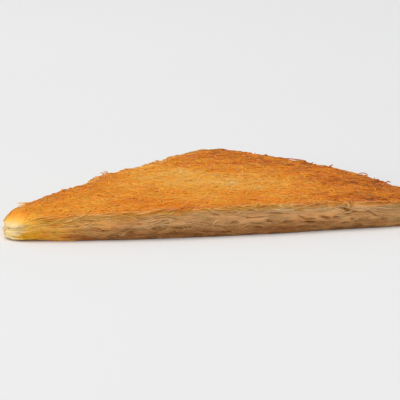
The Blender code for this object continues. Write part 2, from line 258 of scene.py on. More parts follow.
def storeyHeight(x, y, storey):
    # Height of a level of the slice, straight between its four faces: 0 the resting face, 1 and 2 the seams
    # under and over the cheese, 3 the top. The seams and the top wave by sums of noises
    s = storeys
    share = settle(x, y)
    low = share * (s["lowSeam"] + noiseSum(x, y, s["seamWaves"], 1))
    high = share * (s["highSeam"] + noiseSum(x, y, s["seamWaves"], 2))
    top = share * s["height"] + noiseSum(x, y, s["topWaves"])
    lower, filling, upper = (np.clip(storey - k, 0, 1) for k in range(3))
    return low * lower + (high - low) * filling + (top - high) * upper


def shoulder(depth):
    # How far the side is drawn in at this depth under the top: a quarter circle as deep as the roll
    roll = storeys["edgeRoll"]
    rise = np.clip(roll - depth, 0, roll)
    return roll - np.sqrt(np.maximum(roll**2 - rise**2, 0))


def raggedness(x, y, level):
    # How far a side stands out here, by a noise
    size = storeys["raggedSize"]
    return storeys["ragged"] * latticeNoise(x / size, y / size, level, seed=22)


def sidePlace(along, storey, push=0.0):
    # A point of the slice's side: the outline at this distance along it, at the storey's height, moved along
    # the outline's normal by the sum of push, raggedness, the shoulder, the filling's swell and the foot
    s = storeys
    x, y, normalX, normalY = onOutline(along, "x", "y", "normalX", "normalY")
    z = storeyHeight(x, y, storey)
    out = push + raggedness(x, y, z / s["raggedHeight"]) - shoulder(storeyHeight(x, y, 3.0) - z)
    swell = np.sin(math.pi * np.clip(storey - 1, 0, 1))
    out = out + s["fillingBulge"] * swell - s["rimSetback"] * rimShare(x, y) * smooth(3 * swell)
    foot = 1 - smooth(storey / s["footStorey"])
    lift = foot * wedge["noseLift"] * nearTip(np.hypot(x, y), wedge["noseLiftLength"])
    out = out - foot * s["footSetback"] - wedge["noseLiftIn"] * lift
    return np.stack([x + normalX * out + lift, y + normalY * out + wedge["noseLiftAside"] * lift, z], axis=-1)


def outward(along):
    # The outline's normal, level, at this distance along it
    normal = onOutline(along, "normalX", "normalY")
    return unit(np.stack([*normal, 0 * normal[0]], axis=-1))


# How brown each part is, from 0 pale over 0.5 golden to 1 dark brown, and where. What ends in Over starts at
# a distance from the apex and grows over a length. Noises are given as size, amount and seed
baking = dict(
    top=0.553,
    frontDeeper=0.058,  # the top deepens towards the front cut
    frontReach=0.034,
    rimDeeper=0.265,  # and towards the rim
    rimOver=(0.120, 0.056),
    patchPaler=0.16,  # golden patch in the middle of the top
    patchPlace=0.126,
    patchSize=0.037,
    pointPaler=0.62,  # the top is pale at the point
    pointReach=0.010,
    pointFrontPaler=0.22,  # and beside the front cut near it
    pointFrontReach=0.012,
    pointFrontLength=0.017,
    topClouds=((0.016, 0.09, 31), (0.005, 0.06, 32)),
    crustDepth=0.0003,  # how far down the sides the browned top starts to fade
    crustWander=((0.011, 0.0012, 46), (0.003, 0.0006, 47)),
    crustThick=0.004,  # inside the slice the browned crust is thicker by this much
    crustThickReach=0.003,
    crustFade=0.0034,  # it fades into dough over this depth
    crustFadeAtPoint=0.0075,  # and over this much more near the point
    crustOver=(0.013, 0.075),
    edgeDough=0.42,  # the top's last stretch before a cut is part dough
    edgeDoughReach=0.0065,
    ochreCrust=0.30,  # and is deep ochre there and a little way down the cut
    ochreCrumb=0.12,
    ochreHoney=0.60,
    ochreDepth=0.0013,
    ochreInHoney=0.5,  # share of the ochre lost in the syrup
    ochreFades=0.7,  # and lost towards the rim
    ochreOver=(0.100, 0.040),
    wrapPaler=0.20,  # the crust on the sides is more golden than on the top
    wrapDepth=0.0012,
    crumb=0.385,  # dough in the cuts
    crumbGrains=((0.004, 0.0012, 0.13, 41), (0.015, 0.004, 0.08, 42)),  # size, height, amount and seed
    footLevels=((0.0057, 0.0012, 0.17), (0.0030, 0.0012, 0.16)),  # level, fade and browner by, of each step
    footWander=((0.013, 0.0014, 2329), (0.0035, 0.00098, 44)),
    footLower=0.0008,  # the steps lie lower towards the rim
    footOver=(0.100, 0.030),
    bandDeeper=0.035,  # near the rim the dough above the foot is darker
    bandLevel=0.0053,
    bandFade=0.0012,
    bandOver=(0.120, 0.030),
    creamPaler=0.22,  # a pale band under the crust, away from the point
    creamSharper=0.4,  # where the crust ends this much more sharply
    creamLevel=0.0106,
    creamHeight=0.0016,
    creamOver=(0.100, 0.035),
    rimSide=0.30,  # the rim's side is this much browner than the cuts
    honeyOver=(0.013, 0.042),  # over this the syrup ends that makes the point clear and yellow
    honeyClouds=((0.006, 0.12, 45),),
    honeyHidden=0.65,  # share of it that the browned top hides
    honeyClears=0.7,  # share of the foot's browning that it takes away
    honeyDeeper=0.08,
    solePaintedLight=0.28,  # and the lower edge there is painted paler: painted light that lifts its contact shadow
    soleHeight=0.003,
    tipPaler=0.60,  # the very tip is pale again
    tipReach=0.0065,
)


def browning(x, y):
    # The top's own pattern: deeper to the rim and the front cut, paler in a bell round the patch and at the
    # point, with clouds
    b = baking
    radius = np.hypot(x, y)
    patchX, patchY = b["patchPlace"] * math.cos(halfAngle), b["patchPlace"] * math.sin(halfAngle)
    value = b["top"] + b["rimDeeper"] * growth(radius, b["rimOver"]) + noiseSum(x, y, b["topClouds"])
    value += b["frontDeeper"] * (1 - smooth(y / b["frontReach"]))
    value -= b["patchPaler"] * bell(np.hypot(x - patchX, y - patchY), b["patchSize"])
    value -= b["pointPaler"] * nearTip(radius, b["pointReach"])
    besideFront = nearTip(radius, b["pointFrontLength"]) * (1 - smooth(y / b["pointFrontReach"]))
    return value - b["pointFrontPaler"] * besideFront


def crustFading(x, y, level, honey):
    # How the browned top turns into dough: the depth under the level where it starts, the dough share, which
    # grows smoothly with that depth, and the ochre share, a bell under the top's edge beside a cut
    b = baking
    radius = np.hypot(x, y)
    inside = edgeDistance(x, y)
    edge = b["crustDepth"] + noiseSum(x, y, b["crustWander"])
    depth = storeys["height"] - level - edge - b["crustThick"] * smooth(inside / b["crustThickReach"])
    fade = b["crustFade"] + b["crustFadeAtPoint"] * (1 - growth(radius, b["crustOver"]))
    sharper = b["creamSharper"] * growth(radius, b["creamOver"])
    nearCut = (1 - smooth((inside + edge) / b["edgeDoughReach"])) * (1 - rimShare(x, y))
    dough = np.maximum(smooth(depth / (fade * (1 - sharper))), b["edgeDough"] * nearCut * (1 + sharper))
    ochre = nearCut * bell(storeys["height"] - level, b["ochreDepth"])
    ochre = ochre * (1 - b["ochreInHoney"] * honey) * (1 - b["ochreFades"] * growth(radius, b["ochreOver"]))
    return depth, dough, ochre


def crumbOf(x, y, z, level, honey, ochre):
    # Tone of the dough: grains of noise, less a pale band, plus the foot's brown steps, whose edges wander up
    # and down, plus what the ochre, the syrup and the pale tip change. Near the point the lower edge is
    # painted paler, painted light that lifts the contact shadow there
    b = baking
    radius = np.hypot(x, y)
    crumb = b["crumb"] + b["rimSide"] * rimShare(x, y)
    for size, height, amount, seed in b["crumbGrains"]:
        crumb += amount * latticeNoise(x / size, y / size, z / height, seed)
    cream = growth(radius, b["creamOver"]) * bell(level - b["creamLevel"], b["creamHeight"])
    crumb -= b["creamPaler"] * cream
    wander = level + noiseSum(x, y, b["footWander"]) + b["footLower"] * growth(radius, b["footOver"])
    for step, fade, browner in b["footLevels"]:
        crumb += browner * (1 - b["honeyClears"] * honey) * (1 - smooth((wander - step) / fade + 0.5))
    overFoot = smooth((wander - b["bandLevel"]) / b["bandFade"] + 0.5)
    crumb += b["bandDeeper"] * growth(radius, b["bandOver"]) * overFoot
    # Painted light: the lower edge near the point is paler, where the contact shadow falls
    crumb -= b["solePaintedLight"] * honey * (1 - smooth(level / b["soleHeight"]))
    tip = nearTip(radius, b["tipReach"])
    return crumb + b["ochreCrumb"] * ochre + b["honeyDeeper"] * honey * (1 - tip) - b["tipPaler"] * tip


def tonesOf(points):
    # For any points of the slice: toast, how brown, the crust's and the crumb's mixed by the dough share;
    # dough, 0 on the browned top and 1 in the cuts below it; honey, 1 where syrup has made it clear
    b = baking
    x, y, z = np.moveaxis(points, -1, 0)
    level = z / settle(x, y)
    honey = 1 - growth(np.hypot(x, y), b["honeyOver"])
    honey = np.clip(honey + noiseSum(x, y, b["honeyClouds"]) * (honey > 0), 0, 1)
    depth, dough, ochre = crustFading(x, y, level, honey)
    crumb = crumbOf(x, y, z, level, honey, ochre)
    crust = browning(x, y) - b["wrapPaler"] * smooth(depth / b["wrapDepth"]) + b["ochreCrust"] * ochre
    honey = np.maximum(honey * (1 - b["honeyHidden"] * (1 - dough)), b["ochreHoney"] * ochre)
    return dict(toast=crust * (1 - dough) + crumb * dough, dough=dough, honey=honey)


def addObject(name, data):
    # Puts this mesh, light or camera in the scene
    made = bpy.data.objects.new(name, data)
    bpy.context.scene.collection.objects.link(made)
    return made


def addPiece(name, points, faces, material, slot, replaces=None, **attributes):
    # A mesh with its place in its points, shaded smooth, that rides on the slice. Attributes give each point
    # its values for the material
    mesh = bpy.data.meshes.new(name)
    mesh.from_pydata((points.reshape(-1, 3) + apex).tolist(), [], faces)
    for attribute, values in attributes.items():
        layer = mesh.attributes.new(attribute, "FLOAT", "POINT")
        layer.data.foreach_set("value", np.clip(np.ravel(values), 0, 1).astype(np.float32))
    mesh.shade_smooth()
    mesh.materials.append(material)
    mesh.update()
    piece = addObject(name, mesh)
    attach(piece, "root")
    if replaces:
        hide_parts(replaces)
    print("%s: %d triangles" % (name, sum(len(face) - 2 for face in faces)))


def bandFaces(rows, columns):
    # Quads between the rows of a grid whose rows close round
    here = np.arange(rows - 1)[:, None] * columns + np.arange(columns)[None, :]
    beside = np.arange(rows - 1)[:, None] * columns + np.roll(np.arange(columns), -1)[None, :]
    return np.stack([here, here + columns, beside + columns, beside], axis=-1).reshape(-1, 4)


def gridFaces(rows, columns):
    # The bands of a closed form, and a fan of triangles round the pole at each end
    first, after = np.arange(columns), np.roll(np.arange(columns), -1)
    last = (rows - 1) * columns
    topFan = np.stack([np.full(columns, rows * columns), first, after], axis=-1)
    endFan = np.stack([np.full(columns, rows * columns + 1), last + after, last + first], axis=-1)
    return bandFaces(rows, columns).tolist() + topFan.tolist() + endFan.tolist()


def tubes(paths, up, radius, squash, sides=4):
    # Round each path a ring of points at every step: cos(angle) across the path and sin(angle), squashed,
    # over it, times the radius there. The ends are closed
    count, steps = paths.shape[:2]
    ahead = unit(np.gradient(paths, axis=1))
    across = unit(np.cross(ahead, up))
    over = np.cross(across, ahead)
    angle = 2 * math.pi * np.arange(sides)[:, None] / sides
    spoke = np.cos(angle) * across[:, :, None, :] + squash * np.sin(angle) * over[:, :, None, :]
    points = paths[:, :, None, :] + radius[:, :, None, None] * spoke
    cap = np.array([[0, k + 1, k + 2, k + 3] for k in range(0, sides - 2, 2)])
    one = np.concatenate([bandFaces(steps, sides), cap, (steps - 1) * sides + cap[:, ::-1]])
    faces = (one[None] + (np.arange(count) * steps * sides)[:, None, None]).reshape(-1, 4)
    return points, faces.tolist()


cutRelief = dict(
    lumps=(0.0110, 0.0026, 5.5, 55),  # length and height of each noise's features, its layer and its seed
    lumpDepth=0.00055,
    strands=(0.0085, 0.00080, 0.5, 51),
    strandDepth=0.00025,
    fine=(0.0022, 0.00036, 3.5, 52),
    fineDepth=0.00010,
    bends=(0.0095, 0.0045, 0.5, 50),
    bend=0.0013,  # how far the strands wander up and down
    pits=(0.0054, 0.0010, 7.5, 54),
    pitDepth=0.0008,
    pitLevel=0.46,  # noise above this level is a pit
    pitsBelow=2.6,  # storey
    noiseFade=0.3,  # fully deep where the noise is this much higher
    seamHeight=0.00028,
    seamDepth=0.0006,
    seamOpening=0.0085,  # length of a stretch where a seam is open
    seamApart=3.7,  # places the two seams' stretches apart in the noise
    seamShut=0.012,  # both seams are shut this near the point, and open fully from twice as far
    seamLevel=0.22,  # noise above this level opens a seam
    footFade=0.12,  # storeys over which the relief starts at the foot
)
# Hollows that stand out in the front cut: distance from the point, storey, length, height, fall over that
# length in storeys, depth
frontHollows = (
    (0.0223, 1.74, 0.0050, 0.00040, 0.10, 0.0006),
    (0.0313, 1.58, 0.0025, 0.00040, 0.00, 0.0008),
    (0.0338, 2.10, 0.0040, 0.00040, 0.00, 0.0007),
    (0.0407, 1.10, 0.0040, 0.00050, 0.20, 0.0010),
    (0.0572, 1.48, 0.0030, 0.00055, 0.10, 0.0012),
    (0.0589, 1.95, 0.0026, 0.00040, 0.00, 0.0008),
    (0.0630, 1.03, 0.0034, 0.00045, 0.20, 0.0011),
    (0.0671, 1.06, 0.0024, 0.00040, 0.00, 0.0009),
    (0.0677, 1.50, 0.0024, 0.00045, 0.00, 0.0010),
    (0.0715, 1.87, 0.0033, 0.00040, 0.20, 0.0007),
    (0.0889, 2.07, 0.0040, 0.00045, 0.15, 0.0010),
    (0.0925, 0.43, 0.0022, 0.00040, 0.00, 0.0009),
    (0.0950, 0.43, 0.0022, 0.00040, 0.00, 0.0009),
    (0.0971, 1.30, 0.0030, 0.00050, 0.00, 0.0012),
    (0.1043, 2.45, 0.0032, 0.00035, 0.20, 0.0008),
    (0.1057, 1.22, 0.0052, 0.00050, 0.15, 0.0013),
    (0.1117, 1.30, 0.0034, 0.00050, 0.00, 0.0012),
    (0.1164, 1.88, 0.0064, 0.00028, 0.10, 0.0013),
    (0.1210, 1.11, 0.0066, 0.00050, 0.00, 0.0013),
    (0.1262, 1.48, 0.0034, 0.00045, 0.30, 0.0012),
    (0.1301, 1.24, 0.0056, 0.00050, 0.10, 0.0014),
    (0.1352, 1.42, 0.0030, 0.00050, 0.20, 0.0012),
    (0.1373, 1.32, 0.0028, 0.00055, 0.10, 0.0016),
    (0.1412, 1.29, 0.0030, 0.00055, 0.00, 0.0016),
    (0.1453, 0.75, 0.0030, 0.00045, 0.00, 0.0012),
    (0.1470, 1.93, 0.0060, 0.00065, 0.34, 0.0018),
    (0.1487, 1.12, 0.0024, 0.00045, 0.00, 0.0011),
    (0.1525, 1.02, 0.0022, 0.00045, 0.00, 0.0011),
    (0.1552, 1.12, 0.0022, 0.00045, 0.00, 0.0010),
    (0.1570, 1.58, 0.0056, 0.00045, 0.66, 0.0009),
)


def levelOf(storey):
    # Height of a storey where the slice is thickest, straight between its four faces
    return np.interp(storey, (0, 1, 2, 3), (0, storeys["lowSeam"], storeys["highSeam"], storeys["height"]))


def cutNoise(along, height, noise):
    # Noise over the unrolled cut, with features of its own length along and its own height
    length, tall, layer, seed = noise
    return latticeNoise(along / length, height / tall, layer, seed)


def reliefOnCut(along, z, storey):
    # How far a point of the cut stands out: lumps, plus level strands folded into crests, plus fine strands,
    # less a furrow where a seam is open, less pits where a noise runs high, less the chosen hollows, which
    # are bells both ways round a slanting line
    c = cutRelief
    x, y = onOutline(along, "x", "y")
    level = z / settle(x, y)
    bent = z + c["bend"] * cutNoise(along, z, c["bends"])
    depth = c["lumpDepth"] * cutNoise(along, bent, c["lumps"])
    depth += c["strandDepth"] * folded(cutNoise(along, bent, c["strands"]))
    depth += c["fineDepth"] * cutNoise(along, bent, c["fine"])
    behindPoint = growth(np.hypot(x, y) - noseTip, (c["seamShut"], c["seamShut"]))
    for seam in (1, 2):
        noise = latticeNoise(along / c["seamOpening"], c["seamApart"] * seam, 0.5, seed=53)
        opening = behindPoint * smooth((noise - c["seamLevel"]) / c["noiseFade"])
        depth -= c["seamDepth"] * opening * bell(level - levelOf(seam), c["seamHeight"])
    pits = smooth((cutNoise(along, bent, c["pits"]) - c["pitLevel"]) / c["noiseFade"])
    depth -= c["pitDepth"] * pits * (storey < c["pitsBelow"])
    for hollow, height, length, tall, fall, deep in frontHollows:
        centre = levelOf(height - fall * (along - hollow) / length)
        depth -= deep * bell(along - hollow, length / 2) * bell(level - centre, tall)
    return depth * smooth(storey / c["footFade"])


rowRelief = dict(
    crestSize=0.0017,  # crests of the shreds under the top
    crestHeight=0.00022,
    grainSize=0.0008,
    grainHeight=0.00014,
    soleSize=0.0019,  # and of the resting face, drawn in from the floor
    soleHeight=0.00016,
    topFrom=2.7,  # storey above which the top's relief starts
    cutTo=2.75,  # and above which the cut's fades
    cutFade=0.2,
    sinksLessAtPoint=0.55,
    sinksLessReach=0.009,
    pitPaintedShade=0.08,  # pits are painted browner: painted shade in the hollows
    pitPaintedShadeDepth=0.0011,
    pitDoughDepth=0.0008,  # and all dough when this deep
)


def carryRows(name, upper, side, lower, finish, slot, replaces, drop=0.0):
    # A layer as rows round the outline: from the middle of its upper face out to the cut, down it by the
    # side's storeys, and in to the middle again. A row of a face is drawn straight towards the middle of the
    # slice by its share, and a row of the side has the cut's relief. The top lies lower by the drop, with
    # crests and grains of noise
    r = rowRelief
    inward = np.concatenate([upper, 0 * side, lower[::-1]])
    storey = np.concatenate([np.full(len(upper), side[0]), side, np.full(len(lower), side[-1])])
    along = np.broadcast_to(outline["along"][None, :], (len(storey), len(outline["along"])))
    storeyGrid = np.broadcast_to(storey[:, None], along.shape)
    points = sidePlace(along, storeyGrid)
    push = reliefOnCut(along, points[..., 2], storeyGrid) * (inward == 0)[:, None]
    push = push * (1 - smooth((storeyGrid - r["cutTo"]) / r["cutFade"]))
    points += outward(along) * push[..., None]
    points[..., :2] += (middle - points[..., :2]) * inward[:, None, None]
    x, y = planOf(points)
    bumps = r["crestHeight"] * folded(planNoise(x, y, r["crestSize"], seed=61))
    bumps += r["grainHeight"] * planNoise(x, y, r["grainSize"], seed=62)
    sole = r["soleHeight"] * (1 + folded(planNoise(x, y, r["soleSize"], seed=63))) * (storeyGrid == 0)
    onTop = smooth((storeyGrid - r["topFrom"]) / (3 - r["topFrom"]))
    sunk = drop * (1 - r["sinksLessAtPoint"] * bell(np.hypot(x, y) - noseTip, r["sinksLessReach"]))
    points[..., 2] = storeyHeight(x, y, storeyGrid) + onTop * (bumps - sunk) + sole
    poles = np.array([[*middle, points[row, :, 2].mean()] for row in (0, -1)])
    tones = tonesOf(points)
    # Painted shade: the cut's pits and hollows are browner by their depth
    tones["toast"] += r["pitPaintedShade"] * smooth(-push / r["pitPaintedShadeDepth"])
    tones["dough"] = np.maximum(tones["dough"], smooth(-push / r["pitDoughDepth"]))
    for key, value in tones.items():
        tones[key] = np.append(value.ravel(), [value[0, 0], value[-1, 0]])
    points = np.concatenate([points.reshape(-1, 3), poles])
    addPiece(name, points, gridFaces(*along.shape), finish, slot, replaces, **tones)


def fromScreen(red, green, blue):
    # A colour as seen on screen, 0 to 255, in the linear light that nodes use, by the usual screen curve
    values = np.array([red, green, blue]) / 255
    linear = np.where(values <= 0.04045, values / 12.92, ((values + 0.055) / 1.055) ** 2.4)
    return (*linear.tolist(), 1.0)


def screenStops(*stops):
    # Stops of a colour ramp, each given as its place and its red, green and blue on screen
    return [(place, fromScreen(*colour)) for place, *colour in stops]


def makeGroup(name, inputs, outputs):
    # A shader node group with named sockets: inputs with their numbers, or None for a vector, and outputs
    # with their kinds. Returns its tree, the sockets of its input node and those of its output node
    tree = bpy.data.node_groups.new(name, "ShaderNodeTree")
    for socket, value in inputs.items():
        kind = "NodeSocketVector" if value is None else "NodeSocketFloat"
        made = tree.interface.new_socket(socket, in_out="INPUT", socket_type=kind)
        if value is not None:
            made.default_value = value
    for socket, kind in outputs.items():
        tree.interface.new_socket(socket, in_out="OUTPUT", socket_type=kind)
    return tree, tree.nodes.new("NodeGroupInput").outputs, tree.nodes.new("NodeGroupOutput").inputs


def setInputs(tree, node, **inputs):
    # Inputs by name, or as i and a number, each linked to a socket or set to a value
    for key, value in inputs.items():
        socket = node.inputs[int(key[1:]) if key[1:].isdigit() else key.replace("_", " ")]
        if isinstance(value, bpy.types.NodeSocket):
            tree.links.new(value, socket)
        else:
            socket.default_value = value


def addNode(tree, kind, settings=None, **inputs):
    # A shader node with its settings and inputs
    node = tree.nodes.new("ShaderNode" + kind)
    for key, value in (settings or {}).items():
        setattr(node, key, value)
    setInputs(tree, node, **inputs)
    return node


def addMaths(tree, operation, first, second, clamp=False):
    # One sum on two numbers or sockets
    settings = {"operation": operation, "use_clamp": clamp}
    return addNode(tree, "Math", settings, i0=first, i1=second).outputs[0]


def addMix(tree, share, first, second):
    # The first colour with this share of the second
    return addNode(tree, "Mix", {"data_type": "RGBA"}, i0=share, i6=first, i7=second).outputs[2]


def addNoise(tree, given, size, **settings):
    # A noise over the group's vector, with features as large as the input of this name says
    scale = addMaths(tree, "DIVIDE", 1.0, given[size])
    return addNode(tree, "TexNoise", Vector=given["Vector"], Scale=scale, **settings).outputs["Fac"]


def addRamp(tree, fac, stops):
    # A colour ramp with these stops: (place, colour)
    node = addNode(tree, "ValToRGB", Fac=fac)
    elements = node.color_ramp.elements
    while len(elements) < len(stops):
        elements.new(0.5)
    for element, (place, colour) in zip(elements, stops):
        element.position = place
        element.color = colour
    return node.outputs["Color"]


# Colours by how brown the pastry is
crustStops = screenStops(
    (0.00, 233, 192, 128),
    (0.22, 236, 167, 73),
    (0.40, 239, 152, 41),
    (0.55, 233, 129, 22),
    (0.72, 209, 105, 18),
    (0.88, 170, 80, 15),
    (1.00, 104, 44, 12),
)
doughStops = screenStops(
    (0.00, 250, 205, 146),
    (0.30, 234, 176, 114),
    (0.52, 209, 151, 91),
    (0.75, 163, 104, 51),
    (1.00, 98, 56, 26),
)
honeyStops = screenStops(
    (0.00, 255, 220, 150),
    (0.30, 255, 194, 60),
    (0.52, 247, 163, 18),
    (0.75, 217, 121, 27),
    (1.00, 150, 80, 24),
)


def makeToneGroup():
    # Colour of baked pastry: the toast value, mottled by a noise, read from three ramps for the crust, for
    # the dough and for dough clear with syrup, mixed by the dough and honey shares
    shares = {"Toast": 0.5, "Dough": 0.0, "Honey": 0.0}
    inputs = {"Vector": None, **shares, "Mottle Size": 0.003, "Mottle Amount": 0.15}
    tree, given, result = makeGroup("bakedTone", inputs, {"Color": "NodeSocketColor"})
    noise = addNoise(tree, given, "Mottle Size", Detail=4.0, Roughness=0.6)
    mottle = addMaths(tree, "MULTIPLY", addMaths(tree, "SUBTRACT", noise, 0.5), given["Mottle Amount"])
    toast = addMaths(tree, "ADD", mottle, given["Toast"], clamp=True)
    crust, dough, honey = (addRamp(tree, toast, stops) for stops in (crustStops, doughStops, honeyStops))
    pastry = addMix(tree, given["Dough"], crust, dough)
    tree.links.new(addMix(tree, given["Honey"], pastry, honey), result["Color"])
    return tree


def makeFilmGroup():
    # Syrup that has soaked in unevenly: one noise gives the roughness between dry and wet, and the wet film
    inputs = {"Vector": None, "Patch Size": 0.006, "Dry Roughness": 0.6, "Wet Roughness": 0.3, "Film": 0.3}
    outputs = {"Roughness": "NodeSocketFloat", "Coat": "NodeSocketFloat"}
    tree, given, result = makeGroup("syrupFilm", inputs, outputs)
    noise = addNoise(tree, given, "Patch Size", Detail=3.0)
    allDry, allWet = 0.38, 0.64  # values of the noise
    soft = {"interpolation_type": "SMOOTHSTEP"}
    wet = addNode(tree, "MapRange", soft, Value=noise, From_Min=allDry, From_Max=allWet).outputs[0]
    ends = dict(To_Min=given["Dry Roughness"], To_Max=given["Wet Roughness"])
    tree.links.new(addNode(tree, "MapRange", Value=wet, **ends).outputs[0], result["Roughness"])
    tree.links.new(addMaths(tree, "MULTIPLY", wet, given["Film"]), result["Coat"])
    return tree


def makeGrainGroup():
    # Fine fibres: a noise bent by its own distortion and folded back at every step of its value, which leaves
    # thin crests, then brought up to a height of about 1
    inputs = {"Vector": None, "Fibre Size": 0.001, "Bend": 1.5}
    tree, given, result = makeGroup("fibreGrain", inputs, {"Height": "NodeSocketFloat"})
    step, gain = 0.09, 11.0
    noise = addNoise(tree, given, "Fibre Size", Detail=2.0, Distortion=given["Bend"])
    crests = addMaths(tree, "PINGPONG", noise, step)
    tree.links.new(addMaths(tree, "MULTIPLY", crests, gain), result["Height"])
    return tree


bakedTone = makeToneGroup()
syrupFilm = makeFilmGroup()
fibreGrain = makeGrainGroup()


def newFinish(name):
    # A new material, its tree, its shader node and the place on the object
    finish = bpy.data.materials.new(name)
    finish.use_nodes = True
    tree = finish.node_tree
    return finish, tree, tree.nodes["Principled BSDF"], addNode(tree, "TexCoord").outputs["Object"]


def makeFood(name, look):
    # A pastry or cheese finish: colour from the piece's own attributes, syrup gloss and a fine fibre bump
    finish, tree, shader, place = newFinish(name)
    tones = {}
    for key in ("toast", "dough", "honey"):
        tones[key.title()] = addNode(tree, "Attribute", {"attribute_name": key}).outputs["Fac"]
    mottle = dict(Mottle_Size=look["mottleSize"], Mottle_Amount=look["mottleAmount"])
    colour = addNode(tree, "Group", {"node_tree": bakedTone}, Vector=place, **tones, **mottle)
    ends = dict(Dry_Roughness=look["dry"], Wet_Roughness=look["wet"])
    patches = dict(Patch_Size=look["patchSize"], Film=look["film"])
    gloss = addNode(tree, "Group", {"node_tree": syrupFilm}, Vector=place, **patches, **ends)
    drawn = addNode(tree, "Mapping", Vector=place, Scale=look["drawn"]).outputs[0]
    fibres = dict(Fibre_Size=look["fibreSize"], Bend=look["bend"])
    grain = addNode(tree, "Group", {"node_tree": fibreGrain}, Vector=drawn, **fibres).outputs["Height"]
    bump = addNode(tree, "Bump", Strength=look["bump"], Distance=look["bumpDepth"], Height=grain)
    setInputs(
        tree,
        shader,
        Base_Color=colour.outputs["Color"],
        Roughness=gloss.outputs["Roughness"],
        Coat_Weight=gloss.outputs["Coat"],
        Coat_Roughness=look["coatRoughness"],
        Specular_IOR_Level=look["specular"],
        Subsurface_Weight=look["soft"],
        Subsurface_Radius=look["softSpread"],
        Subsurface_Scale=look["softDepth"],
        Normal=bump.outputs["Normal"],
    )
    return finish


crustShredLook = dict(
    mottleSize=0.0022,
    mottleAmount=0.08,
    patchSize=0.0075,
    dry=0.62,
    wet=0.40,
    film=0.05,
    coatRoughness=0.25,
    fibreSize=0.0007,
    bend=1.0,
    drawn=(1, 1, 1),  # stretch of the fibres' pattern
    bump=0.25,
    bumpDepth=0.0001,
    specular=0.12,
    soft=0.5,
    softSpread=(1.0, 0.93, 0.86),  # of red, green and blue light
    softDepth=0.0012,
)
crustBedLook = dict(
    crustShredLook,
    mottleSize=0.0030,
    mottleAmount=0.12,
    fibreSize=0.0022,
    bend=2.2,
    bump=0.4,
    bumpDepth=0.0003,
    softDepth=0.0018,
)
doughShredLook = dict(
    crustShredLook,
    mottleSize=0.0020,
    mottleAmount=0.15,
    dry=0.66,
    wet=0.45,
    specular=0.20,
    softDepth=0.0014,
)
doughBedLook = dict(
    doughShredLook,
    fibreSize=0.0014,
    drawn=(0.35, 0.35, 2.2),
    bump=0.7,
    bumpDepth=0.0003,
    softDepth=0.0018,
)
cheeseLook = dict(
    doughShredLook,
    mottleSize=0.0026,
    mottleAmount=0.13,
    dry=0.5,
    wet=0.34,
    fibreSize=0.0013,
    drawn=(0.35, 0.35, 1.6),
    bump=0.5,
    softDepth=0.0018,
)
crustShredFinish = makeFood("crustShreds", crustShredLook)
crustBedFinish = makeFood("crustBed", crustBedLook)
doughShredFinish = makeFood("soakedDough", doughShredLook)
doughBedFinish = makeFood("soakedDoughBed", doughBedLook)
cheeseFinish = makeFood("softCheese", cheeseLook)
print("finishes made")

layerRows = dict(
    gap=0.004,  # half the gap between two layers, in storeys
    hidden=(0.97, 0.7, 0.3, 0.05),  # shares by which the rows of a hidden face are drawn in
    wide=39,  # rows of the top and of the resting face
    wideMost=0.985,  # the innermost is drawn in by this share
    wideCrowding=1.2,
    roll=7,  # rows round the shoulder, and of each side
    crust=14,
    cheese=30,
    base=28,
    crustDrop=0.00074,  # the crust's bed lies this much under its shreds
)


def addLayers():
    # The three layers one above the other. The crust's side starts as a quarter circle round its shoulder
    r = layerRows
    hidden = np.array(r["hidden"])
    wide = r["wideMost"] * np.linspace(1, 0, r["wide"] + 1)[:-1] ** r["wideCrowding"]
    roll = storeys["edgeRoll"] / (storeys["height"] - storeys["highSeam"])
    quarter = 3 - roll * (1 - np.cos(np.linspace(0, math.pi / 2, r["roll"])))
    crust = np.concatenate([quarter, np.linspace(3 - roll, 2 + r["gap"], r["crust"])[1:]])
    cheese = np.linspace(2 - r["gap"], 1 + r["gap"], r["cheese"])
    base = np.linspace(1 - r["gap"], 0, r["base"])
    drop = r["crustDrop"]
    carryRows("crustCore", wide, crust, hidden, crustBedFinish, "browned_pastry", "upper_pastry", drop)
    carryRows("cheeseFilling", hidden, cheese, hidden, cheeseFinish, "cheese", "cheese_filling")
    carryRows("syrupBase", hidden, base, wide, doughBedFinish, "syrupy_pastry", "lower_pastry")


addLayers()


def topNormal(x, y):
    # The level direction straight out over the nearest edge: the downhill slope of edgeDistance
    step = 0.0002
    slopeX = edgeDistance(x + step, y) - edgeDistance(x - step, y)
    slopeY = edgeDistance(x, y + step) - edgeDistance(x, y - step)
    return -unit(np.stack([slopeX, slopeY, 0 * slopeX], axis=-1))


def scatter(rng, count, nearest, before, past):
    # Starts spread evenly over the sector by area, from this share of it outwards, and a little before the
    # front cut and past the back cut: the radius is the square root of an even random number
    radius = wedge["trayRadius"] * np.sqrt(rng.uniform(nearest, 1.0, count))
    angle = rng.uniform(-before, wedge["sliceAngle"] + past, count)
    return radius * np.cos(angle), radius * np.sin(angle)


def wanderPaths(x, y, heading, length, curl, wobble, rng, steps=24, pitches=(0.7, 1.9)):
    # Level paths from each start: the heading turns steadily by curl over the whole length, with a sine
    # wobble of its own phase and pitch, and the place is the running sum of its steps
    count = len(x)
    t = np.linspace(0, 1, steps)[None, :]
    phase = rng.uniform(0, 2 * math.pi, (count, 1))
    pitch = rng.uniform(*pitches, (count, 1))
    sway = wobble[:, None] * np.sin(phase + 2 * math.pi * pitch * t)
    turn = heading[:, None] + curl[:, None] * (t - 0.5) + sway
    pace = (length / (steps - 1))[:, None]
    walk = [np.cumsum(pace * part, axis=1) for part in (np.cos(turn), np.sin(turn))]
    return np.stack([x, y], axis=-1)[:, None, :] + np.stack(walk, axis=-1)


def resample(values, share, steps):
    # Each path cut off at a share of its length and divided again into equal steps, straight between points
    last = values.shape[1] - 1
    place = np.linspace(0, 1, steps)[None, :] * (share * last)[:, None]
    before = np.minimum(place.astype(int), last - 1)
    part = (place - before)[..., None]
    row = np.arange(len(values))[:, None]
    return values[row, before] * (1 - part) + values[row, before + 1] * part


